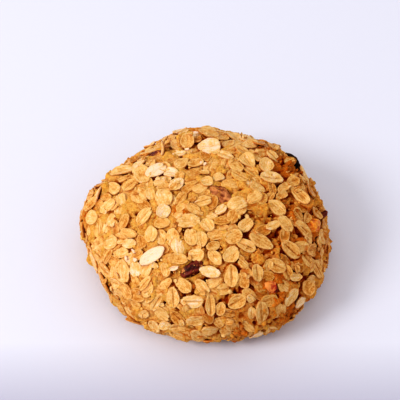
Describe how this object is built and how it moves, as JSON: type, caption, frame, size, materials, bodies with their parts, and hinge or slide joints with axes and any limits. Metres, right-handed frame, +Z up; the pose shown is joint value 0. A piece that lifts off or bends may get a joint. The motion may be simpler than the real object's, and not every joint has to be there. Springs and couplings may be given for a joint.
{
  "type": "oatmeal raisin cookie",
  "caption": "Thick domed drop cookie, its dough covered all over with rolled oat flakes, with raisins and dried fruit sunk in it and a flat underside to rest on.",
  "frame": {"origin": "middle of the flat underside, on the surface the cookie rests on", "axes": "+Z up out of the dome, -Y towards the front, which the picture shows, +X to the right"},
  "size_m": [0.1026, 0.1019, 0.0422],
  "materials": {
    "dough": "matt, baked golden dough, toasted orange-brown on its crags and underside",
    "oats": "satin, golden rolled oat flakes, some nearly white and some toasted",
    "raisin_dark": "semi-gloss, wrinkled dark purple-red skin",
    "raisin_brown": "satin, wrinkled pink-brown skin",
    "raisin_burnt": "satin, burnt black skin",
    "fruit_red": "semi-gloss, sticky red dried fruit",
    "fruit_orange": "semi-gloss, sticky orange dried fruit"
  },
  "bodies": {
    "root": {"cookie": "dough", "raisin_top": "raisin_brown", "raisin_front": "raisin_dark", "raisin_shoulder": "raisin_burnt", "raisin_rear_left": "raisin_dark", "raisin_right_side": "raisin_dark", "raisin_back": "raisin_dark", "raisin_back_left": "raisin_dark", "raisin_back_right": "raisin_dark", "fruit_red": "fruit_red", "fruit_orange": "fruit_orange"}
  },
  "joints": []
}
